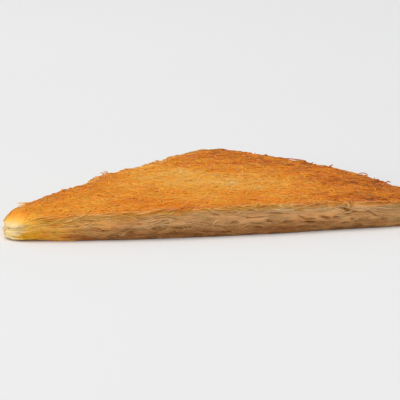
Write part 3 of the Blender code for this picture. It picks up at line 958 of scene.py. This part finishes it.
def layOver(x, y, lift):
    # Lays level paths over the slice. Where the edge is nearer than the roll, the distance is spent round a
    # quarter circle and then down the side. Returns the places and the surface's normals
    roll = storeys["edgeRoll"]
    distance = edgeDistance(x, y)
    away = topNormal(x, y)
    turn = np.maximum((roll - distance) / roll, 0)
    bent = np.minimum(turn, math.pi / 2)
    inset = roll * (1 - np.sin(bent))
    drop = roll * (1 - np.cos(bent)) + roll * np.maximum(turn - math.pi / 2, 0)
    move = np.where(turn > 0, distance - inset, 0.0)
    places = np.stack([x, y, 0 * x], axis=-1) + away * move[..., None]
    ragged = raggedness(*planOf(places), storeys["raggedTop"])
    normal = np.sin(bent)[..., None] * away + np.cos(bent)[..., None] * upward
    places += away * (np.sin(bent) * ragged)[..., None]
    places[..., 2] = storeyHeight(*planOf(places), 3.0) - drop
    return places + normal * lift[..., None], normal


def taperOf(steps, tip):
    # Thickness along a shred, full in the middle and down to the tip share at its ends: 1 - (1 - tip) |t|^5
    t = np.linspace(-1, 1, steps)
    return 1 - (1 - tip) * np.abs(t) ** 5


def thicknessOf(rng, count, kind):
    # The radius of each shred at each of its steps
    return rng.uniform(*kind["radius"], (count, 1)) * taperOf(kind["steps"], kind["tip"])[None, :]


def swing(rng, count, t, pitches, phases=(0, 6.3)):
    # A sine along each shred, with a phase and a pitch of its own
    return np.sin(rng.uniform(*phases, (count, 1)) + rng.uniform(*pitches, (count, 1)) * t)


def addShreds(name, paths, up, thick, squash, tones, finish, slot):
    # Tubes round these paths. Every point of a ring has the tones of its step
    points, faces = tubes(paths, up, thick, squash)
    spread = {key: np.broadcast_to(value[..., None], points.shape[:3]) for key, value in tones.items()}
    addPiece(name, points, faces, finish, slot, **spread)


def topShreds(name, kind, seed):
    # Shreds scattered over the top, each bent along a path of its own. A path that leaves over a cut ends
    # where the knife ended it. The tone and its spread grow towards the rim
    rng = np.random.default_rng(seed)
    x, y = scatter(rng, kind["count"], *kind["scatter"])
    kept = edgeDistance(x, y) > kind["leastInside"]
    x, y = x[kept], y[kept]
    count = len(x)
    heading = math.pi * planNoise(x, y, kind["drift"], seed=71) + rng.normal(0, kind["disorder"], count)
    length = rng.uniform(*kind["length"], count)
    bends = rng.normal(0, kind["curl"], count), rng.uniform(0, kind["wobble"], count)
    flat = wanderPaths(x, y, heading, length, *bends, rng)
    rim = rimShare(*planOf(flat))
    hang = rng.uniform(*kind["hang"], (count, 1)) * (1 - rim)
    hang += rng.uniform(*kind["rimHang"], (count, 1)) * rim
    inside = np.cumprod(edgeDistance(*planOf(flat)) > -hang, axis=1).sum(axis=1)
    share = (inside - 1) / (flat.shape[1] - 1)
    whole = share * length > kind["length"][0] * kind["leastShare"]
    flat = resample(flat[whole], share[whole], kind["steps"])
    count = len(flat)
    t = np.linspace(0, 1, kind["steps"])[None, :]
    level = rng.uniform(*kind["level"], (count, 1))
    arch = rng.uniform(0, kind["arch"], (count, 1)) * np.sin(math.pi * t)
    rise = rng.uniform(-kind["rise"], kind["rise"], (count, 1)) * (t - 0.5)
    wave = kind["wave"] * swing(rng, count, t, kind["pitches"])
    lift = level + arch + rise + wave - kind["sink"] * np.abs(2 * t - 1) ** 6
    places, normal = layOver(*planOf(flat), lift)
    thick = thicknessOf(rng, count, kind)
    places[..., 2] = np.clip(places[..., 2], kind["overFloor"], cadBox[1][2] - kind["underTop"])
    tones = tonesOf(places)
    tones["dough"] = tones["dough"] * kind["hangingDough"]
    nearRim = growth(np.hypot(*planOf(places[:, :1])), kind["rimOver"])
    spread = rng.normal(0, kind["toneSpread"], (count, 1)) * (1 + kind["rimSpread"] * nearRim)
    # The kind's tone is painted shade on the deeper shreds and painted light on the uppermost
    tones["toast"] += kind["tone"] * (1 + nearRim) + spread
    tones["toast"] += kind["tips"] * np.abs(2 * t - 1) ** 4 * rng.uniform(0, 1, (count, 1))
    addShreds(name, places, normal, thick, kind["squash"], tones, crustShredFinish, "browned_pastry")


bedShreds = dict(
    count=2900,
    scatter=(0.0012, 0.04, 0.02),  # least share of the area, and angles past the front and the back cut
    leastInside=0.0002,  # a start nearer the edge is left out
    length=(0.006, 0.012),
    leastShare=0.35,  # of the least length; a shred cut shorter is left out
    radius=(0.00034, 0.00050),
    tip=0.6,
    steps=7,
    curl=0.9,
    wobble=0.45,
    drift=0.030,  # size of the patches that head much the same way
    disorder=0.9,
    level=(-0.00101, -0.00088),
    arch=0.0001,
    rise=0.0002,
    wave=0.00006,
    pitches=(4, 11),
    sink=0.0002,  # how far the ends go in
    hang=(0.0000, 0.0008),  # how far over a cut it may hang, and over the rim
    rimHang=(0.002, 0.0085),
    overFloor=0.0004,
    underTop=0.0005,
    squash=0.85,
    hangingDough=0.7,
    # Painted shade: the bed, which lies deepest under the other shreds, is browner
    tone=0.045,
    toneSpread=0.022,
    rimSpread=1.5,  # the spread is wider by this much at the rim
    rimOver=(0.090, 0.050),
    tips=0.02,  # browner tips
)
crustShreds = dict(
    bedShreds,
    length=(0.005, 0.011),
    radius=(0.00032, 0.00046),
    curl=1.9,
    wobble=0.9,
    level=(-0.00094, -0.00079),
    arch=0.00014,
    rise=0.00024,
    sink=0.00025,
    hang=(0.0002, 0.0014),
    hangingDough=0.6,
    tone=0.0,
    tips=0.03,
)
looseShreds = dict(
    crustShreds,
    count=1900,
    length=(0.005, 0.012),
    radius=(0.00030, 0.00041),
    curl=2.6,
    wobble=1.3,
    disorder=1.4,
    level=(-0.00082, -0.00066),
    arch=0.00024,
    rise=0.0003,
    wave=0.0001,
    sink=0.0003,
    # Painted light: the loose shreds, which lie uppermost, are paler
    tone=-0.055,
    toneSpread=0.03,
    tips=0.02,
)
topShreds("bedShreds", bedShreds, 101)
topShreds("crustShreds", crustShreds, 102)
topShreds("looseShreds", looseShreds, 103)


def cutShreds(name, kind, seed, finish, slot):
    # Shreds pressed into the cut faces. Each runs along the outline and wanders between two storeys, as a
    # steady climb plus a sine, and lies on part of the relief under it
    rng = np.random.default_rng(seed)
    count = kind["count"]
    t = np.linspace(0, 1, kind["steps"])[None, :]
    start = rng.uniform(0, outline["length"], (count, 1))
    run = rng.uniform(*kind["length"], (count, 1)) * rng.choice((-1, 1), (count, 1))
    steepest = kind["slantLimit"] * kind["slant"]
    slant = np.clip(rng.normal(0, kind["slant"], (count, 1)), -steepest, steepest)
    sway = kind["sway"] * rng.uniform(kind["leastSway"], 1, (count, 1))
    wave = sway * swing(rng, count, t, kind["pitches"])
    along = start + run * np.cos(slant) * t
    climb = np.abs(run) * np.sin(slant) * (t - 0.5)
    lowest, highest = kind["storey"]
    storey = rng.uniform(lowest, highest, (count, 1)) + (climb + wave) / (storeys["height"] / 3)
    storey = np.clip(storey, lowest - kind["beyond"], highest + kind["beyond"])
    flat = sidePlace(along, storey)
    relief = reliefOnCut(along, flat[..., 2], storey)
    kept = (np.min(relief, axis=1) > -kind["skipPit"]) | (rng.uniform(0, 1, count) < kind["inPits"])
    push = rng.uniform(*kind["push"], (count, 1)) + kind["follow"] * np.clip(relief, *kind["followed"])
    push += rng.uniform(0, kind["arch"], (count, 1)) * np.sin(math.pi * t)
    push -= kind["sink"] * np.abs(2 * t - 1) ** 4
    normal = outward(along)
    places = (flat + normal * push[..., None])[kept]
    thick = thicknessOf(rng, count, kind)[kept]
    places[..., 2] = np.clip(places[..., 2], thick, None)
    tones = tonesOf(places)
    tones["toast"] += kind["tone"] + rng.normal(0, kind["toneSpread"], (len(places), 1))
    addShreds(name, places, normal[kept], thick, kind["squash"], tones, finish, slot)


upperCut = dict(
    count=1350,
    length=(0.004, 0.011),
    radius=(0.00023, 0.00036),
    tip=0.55,
    steps=7,
    slant=0.16,
    slantLimit=2.2,  # no steeper than this many times the slant
    sway=0.00030,
    leastSway=0.2,
    pitches=(2, 7),
    storey=(1.90, 2.76),
    beyond=0.06,  # storeys that it may wander beyond them
    push=(-0.00042, 0.00010),
    follow=0.6,  # share of the relief that it follows
    followed=(-0.0005, 0.0005),  # deepest and highest relief
    arch=0.00018,
    sink=0.0004,
    skipPit=0.0006,  # where the relief is deeper a shred is left out
    inPits=0.10,  # apart from this share
    squash=0.62,
    tone=0.0,
    toneSpread=0.035,
)
cheeseStrings = dict(
    upperCut,
    count=1000,
    length=(0.004, 0.012),
    radius=(0.00019, 0.00033),
    slant=0.13,
    storey=(1.04, 1.96),
    push=(-0.00044, 0.00008),
    arch=0.00009,
    squash=0.65,
    tone=-0.05,
)
lowerCut = dict(
    upperCut,
    count=1700,
    length=(0.003, 0.009),
    slant=0.22,
    sway=0.00034,
    storey=(0.10, 1.12),
    arch=0.00021,
    toneSpread=0.04,
)
paleStrings = dict(
    upperCut,
    count=520,
    length=(0.004, 0.013),
    radius=(0.00018, 0.00027),
    slant=0.20,
    sway=0.00045,
    storey=(1.15, 2.72),
    push=(0.00005, 0.00028),
    follow=0.8,
    arch=0.00030,
    skipPit=0.0004,
    squash=0.9,
    tone=-0.10,
)
cutShreds("upperCutShreds", upperCut, 111, doughShredFinish, "browned_pastry")
cutShreds("cheeseStrings", cheeseStrings, 112, cheeseFinish, "cheese")
cutShreds("lowerCutShreds", lowerCut, 113, doughShredFinish, "syrupy_pastry")
cutShreds("paleStrings", paleStrings, 114, cheeseFinish, "cheese")


def cutEnds(name, kind, seed, slot):
    # Ends of shreds that the knife crossed: short straight stubs that stand out of the cut along its normal,
    # turned a little aside
    rng = np.random.default_rng(seed)
    count = kind["count"]
    along = rng.uniform(0, outline["length"], (count, 1))
    storey = rng.uniform(*kind["storey"], (count, 1))
    t = np.array([[-1.0, 0.0, 1.0]])
    flat = sidePlace(along, storey)
    relief = reliefOnCut(along, flat[..., 2], storey)
    aside = rng.normal(0, kind["aside"], (count, 3))
    normal = unit(outward(along) + aside[:, None, :])
    reach = kind["inside"] * np.minimum(t, 0) + rng.uniform(*kind["proud"], (count, 1)) * np.maximum(t, 0)
    places = flat + normal * (np.clip(relief, *kind["followed"]) + reach)[..., None]
    thick = rng.uniform(*kind["radius"], (count, 1)) * np.array(kind["taper"])
    places[..., 2] = np.clip(places[..., 2], thick, None)
    tones = tonesOf(places)
    tones["toast"] += kind["tone"] + rng.normal(0, kind["toneSpread"], (count, 1))
    addShreds(name, places, upward, thick, kind["squash"], tones, doughShredFinish, slot)


upperEnds = dict(
    count=620,
    storey=(1.95, 2.8),
    radius=(0.00018, 0.00030),
    taper=(1.0, 1.0, 0.8),
    squash=0.8,
    inside=0.0006,  # how far in a stub starts, and how far out it stands
    proud=(0.00002, 0.00026),
    followed=(-0.0006, 0.0004),
    aside=0.35,
    tone=-0.05,
    toneSpread=0.08,
)
lowerEnds = dict(upperEnds, count=900, storey=(0.15, 1.1))
cutEnds("upperCutEnds", upperEnds, 121, "browned_pastry")
cutEnds("lowerCutEnds", lowerEnds, 122, "syrupy_pastry")


def alongNear(radius, angle):
    # Distance along the outline of its step nearest to this place, given from the apex and in degrees
    turn = math.radians(angle)
    gap = np.hypot(outline["x"] - radius * math.cos(turn), outline["y"] - radius * math.sin(turn))
    return outline["along"][np.argmin(gap)]


bentKind = dict(
    over=(0.05, -0.9, 0.45),  # the way that a shred is squashed
    squash=0.9,
    tip=0.5,
    underTop=0.0004,
    rootStorey=2.9,  # where strays start, and how far in
    rootPush=-0.0006,
)


def bentShreds(name, places, radius, tone, finish, least=0.0, steps=9):
    # Each shred follows the parabola that three places pull it along: (1-t)^2 a + 2t(1-t) b + t^2 c. Its
    # dough share is at least this much
    t = np.linspace(0, 1, steps)[None, :, None]
    first, bend, last = (places[:, k : k + 1] for k in range(3))
    paths = (1 - t) ** 2 * first + 2 * t * (1 - t) * bend + t**2 * last
    thick = np.array(radius)[:, None] * taperOf(steps, bentKind["tip"])[None, :]
    paths[..., 2] = np.clip(paths[..., 2], thick, cadBox[1][2] - bentKind["underTop"])
    tones = tonesOf(paths)
    tones["toast"] += np.array(tone)[:, None]
    tones["dough"] = np.maximum(tones["dough"], least)
    addShreds(name, paths, bentKind["over"], thick, bentKind["squash"], tones, finish, "browned_pastry")


# Curls that lie proud of the front cut: three places as (distance from the point, storey, out), radius, tone
frontCurls = (
    ((0.1449, 2.90, 0.0003), (0.1466, 2.80, 0.0014), (0.1466, 2.25, 0.0008), 0.00036, -0.16),
    ((0.0876, 1.15, 0.0000), (0.0884, 1.55, 0.0009), (0.0906, 1.62, 0.0002), 0.00027, -0.14),
    ((0.0980, 1.98, 0.0000), (0.0990, 2.25, 0.0008), (0.1008, 2.27, 0.0001), 0.00028, -0.14),
    ((0.1124, 2.35, 0.0000), (0.1152, 2.24, 0.0010), (0.1183, 2.36, 0.0001), 0.00042, -0.16),
    ((0.0690, 2.20, 0.0000), (0.0700, 2.58, 0.0009), (0.0722, 2.60, 0.0002), 0.00030, -0.07),
    ((0.0588, 2.80, 0.0002), (0.0602, 2.70, 0.0009), (0.0615, 2.80, 0.0002), 0.00028, -0.08),
    ((0.1036, 2.56, 0.0002), (0.1050, 2.80, 0.0008), (0.1070, 2.74, 0.0002), 0.00028, -0.08),
    ((0.1080, 2.30, 0.0000), (0.1096, 2.50, 0.0007), (0.1116, 2.46, 0.0001), 0.00026, -0.08),
)
curlDough = 0.85  # least dough share of the curls
*curlPlaces, curlRadius, curlTone = zip(*frontCurls)
curlPlaces = sidePlace(*np.array(curlPlaces).T)
bentShreds("frontCurls", curlPlaces, curlRadius, curlTone, doughShredFinish, curlDough)

# Loose shreds at the browned edge. Each starts on the outline at a radius and an angle in degrees, then come
# the moves to its bend and its end: along +X, along +Y, up. Then its radius and tone
edgeStrays = (
    (0.0330, 50.0, (-0.0025, 0.0006, -0.0002), (-0.0056, 0.0010, -0.0003), 0.00026, -0.26),
    (0.0325, 50.0, (-0.0026, 0.0002, -0.0008), (-0.0052, 0.0009, -0.0013), 0.00024, -0.26),
    (0.0960, 50.0, (-0.0008, 0.0010, 0.0003), (-0.0014, 0.0014, 0.0006), 0.00028, 0.0),
    (0.0972, 50.0, (-0.0006, 0.0006, 0.0003), (-0.0010, 0.0012, 0.0008), 0.00026, 0.0),
    (0.0985, 50.0, (0.0002, 0.0009, 0.0003), (-0.0009, 0.0014, 0.0006), 0.00026, 0.02),
    (0.1880, 36.0, (0.0022, -0.0040, 0.0004), (0.0080, -0.0076, 0.0000), 0.00028, 0.04),
    (0.1880, 27.4, (0.0008, 0.0002, 0.0006), (0.0018, -0.0002, 0.0009), 0.00026, 0.06),
    (0.1880, 20.8, (0.0022, -0.0030, 0.0016), (0.0028, -0.0058, 0.0002), 0.00027, 0.04),
    (0.1880, 13.8, (0.0012, 0.0008, 0.0009), (0.0020, -0.0008, 0.0002), 0.00027, 0.06),
)
strayDistance, strayAngle, strayBend, strayEnd, strayRadius, strayTone = zip(*edgeStrays)
strayAlong = np.array([alongNear(*place) for place in zip(strayDistance, strayAngle)])
strayRoots = sidePlace(strayAlong, bentKind["rootStorey"], bentKind["rootPush"])
strayPlaces = np.stack([strayRoots, strayRoots + strayBend, strayRoots + strayEnd], axis=1)
bentShreds("edgeStrays", strayPlaces, strayRadius, strayTone, crustShredFinish)


def smallStrays(name, kind, seed):
    # Short ends along the rim and the back cut: each leaves the edge outwards, turned aside, and rises or
    # droops at its end
    rng = np.random.default_rng(seed)
    count = kind["count"]
    start = alongNear(wedge["trayRadius"], kind["fromAngle"])
    along = rng.uniform(start, outline["length"] - kind["beforePoint"], count)
    roots = sidePlace(along, rng.uniform(*kind["storey"], count), bentKind["rootPush"])
    heading = unit(outward(along) + rng.normal(0, kind["aside"], (count, 3)) * (1 - upward))
    reach = rng.uniform(*kind["reach"], (count, 1))
    bend = roots + kind["bendShare"] * reach * heading + upward * rng.uniform(*kind["bendRise"], (count, 1))
    last = roots + reach * heading + upward * rng.uniform(*kind["endRise"], (count, 1))
    places = np.stack([roots, bend, last], axis=1)
    radius, tone = rng.uniform(*kind["radius"], count), rng.normal(0, kind["toneSpread"], count)
    bentShreds(name, places, radius, tone, crustShredFinish, steps=kind["steps"])


smallStrayKind = dict(
    count=46,
    fromAngle=8.0,  # in degrees, on the rim
    beforePoint=0.02,  # and as far as this before the point
    storey=(2.6, 2.95),
    aside=0.9,
    reach=(0.0011, 0.0026),
    bendShare=0.6,
    bendRise=(-0.0001, 0.0005),
    endRise=(-0.0009, 0.0006),
    radius=(0.00021, 0.00030),
    toneSpread=0.06,
    steps=6,
)
smallStrays("smallStrays", smallStrayKind, 131)


def soleShreds(name, kind, seed):
    # Shreds of the resting face, pressed flat: level paths inside the outline, each a radius above the ground
    rng = np.random.default_rng(seed)
    count = kind["count"]
    x, y = scatter(rng, count, *kind["scatter"])
    bends = rng.normal(0, kind["curl"], count), rng.uniform(0, kind["wobble"], count)
    heading = rng.uniform(0, 2 * math.pi, count)
    flat = wanderPaths(x, y, heading, rng.uniform(*kind["length"], count), *bends, rng)
    inside = (edgeDistance(*planOf(flat)) > kind["margin"]).all(axis=1)
    inside &= np.hypot(*planOf(flat)).min(axis=1) > kind["fromPoint"]
    flat = resample(flat[inside], np.ones(inside.sum()), kind["steps"])
    thick = thicknessOf(rng, len(flat), kind)
    paths = np.concatenate([flat, (thick * kind["squash"] + kind["overFloor"])[..., None]], axis=-1)
    tones = tonesOf(paths)
    tones["toast"] += rng.normal(0, kind["toneSpread"], (len(flat), 1))
    addShreds(name, paths, upward, thick, kind["squash"], tones, doughShredFinish, "syrupy_pastry")


soleKind = dict(
    count=2000,
    scatter=(0.004, 0.03, 0.0),
    length=(0.005, 0.012),
    radius=(0.00024, 0.00038),
    tip=0.6,
    squash=0.6,
    steps=6,
    curl=1.2,
    wobble=0.6,
    margin=0.0012,
    fromPoint=0.016,
    overFloor=0.00002,
    toneSpread=0.08,
)
soleShreds("soleShreds", soleKind, 141)

floorKind = dict(
    half=8.0,
    noiseScale=1.4,
    tones=((0.3, 0.775), (0.7, 0.80)),  # value of the noise, grey
    roughness=0.7,
    specular=0.2,
)


def makeFloor():
    # A plain pale floor whose tone drifts a little
    kind = floorKind
    finish, tree, shader, place = newFinish("paleFloor")
    noise = addNode(tree, "TexNoise", Vector=place, Scale=kind["noiseScale"], Detail=2.0).outputs["Fac"]
    tone = addRamp(tree, noise, [(value, (grey, grey, grey, 1)) for value, grey in kind["tones"]])
    surface = dict(Roughness=kind["roughness"], Specular_IOR_Level=kind["specular"])
    setInputs(tree, shader, Base_Color=tone, **surface)
    corners = [(kind["half"] * x, kind["half"] * y, 0) for x, y in ((-1, -1), (1, -1), (1, 1), (-1, 1))]
    mesh = bpy.data.meshes.new("floor")
    mesh.from_pydata(corners, [], [(0, 1, 2, 3)])
    mesh.materials.append(finish)
    floor = addObject("floor", mesh)


def addLamp(name, place, size, watts, colour):
    # A square soft light that looks at the slice
    lamp = bpy.data.lights.new(name, "AREA")
    lamp.size = size
    lamp.energy = watts
    lamp.color = colour
    holder = addObject(name, lamp)
    holder.location = place
    holder.rotation_euler = (-Vector(place)).to_track_quat("-Z", "Y").to_euler()


studio = dict(
    worldLight=0.61,
    worldColour=(0.97, 0.985, 1.0, 1),
    keyLight=((-1.3, 0.7, 3.5), 2.0, 65.0, (1.0, 0.985, 0.96)),  # place, size, watts and colour
    sideLight=((-2.5, -1.5, 0.8), 1.6, 25.0, (1.0, 0.99, 0.97)),
    pointLight=((-3.0, -0.4, 0.5), 1.2, 19.0, (1.0, 0.99, 0.97)),  # lights the point from its own side
)
makeFloor()
for light in ("keyLight", "sideLight", "pointLight"):
    addLamp(light, *studio[light])
world = bpy.data.worlds.new("studio")
world.use_nodes = True
background = world.node_tree.nodes["Background"]
setInputs(world.node_tree, background, Color=studio["worldColour"], Strength=studio["worldLight"])
bpy.context.scene.world = world

photoView = dict(
    azimuth=math.radians(-10.64),
    elevation=math.radians(11.6),
    distance=1.038,
    lens=212.7,
    sensor=36.0,
    clip=(0.05, 60.0),
    aim=(0.00157, -0.01539, 0.0),
    aimAbove=0.0040,
)


def makeCamera():
    # Stands back from the aim along the photo's azimuth and elevation, and looks a little above it
    v = photoView
    back = Vector((
        math.sin(v["azimuth"]) * math.cos(v["elevation"]),
        -math.cos(v["azimuth"]) * math.cos(v["elevation"]),
        math.sin(v["elevation"]),
    ))
    data = bpy.data.cameras.new("camera")
    data.lens = v["lens"]
    data.sensor_width = v["sensor"]
    data.clip_start, data.clip_end = v["clip"]
    camera = addObject("camera", data)
    camera.location = Vector(v["aim"]) + back * v["distance"]
    looking = Vector(v["aim"]) + Vector((0, 0, v["aimAbove"] / math.cos(v["elevation"]))) - camera.location
    camera.rotation_euler = looking.to_track_quat("-Z", "Y").to_euler()
    bpy.context.scene.camera = camera


makeCamera()
bpy.context.scene.view_settings.view_transform = "Standard"
bpy.context.scene.view_settings.look = "None"
print("floor, light and camera made")
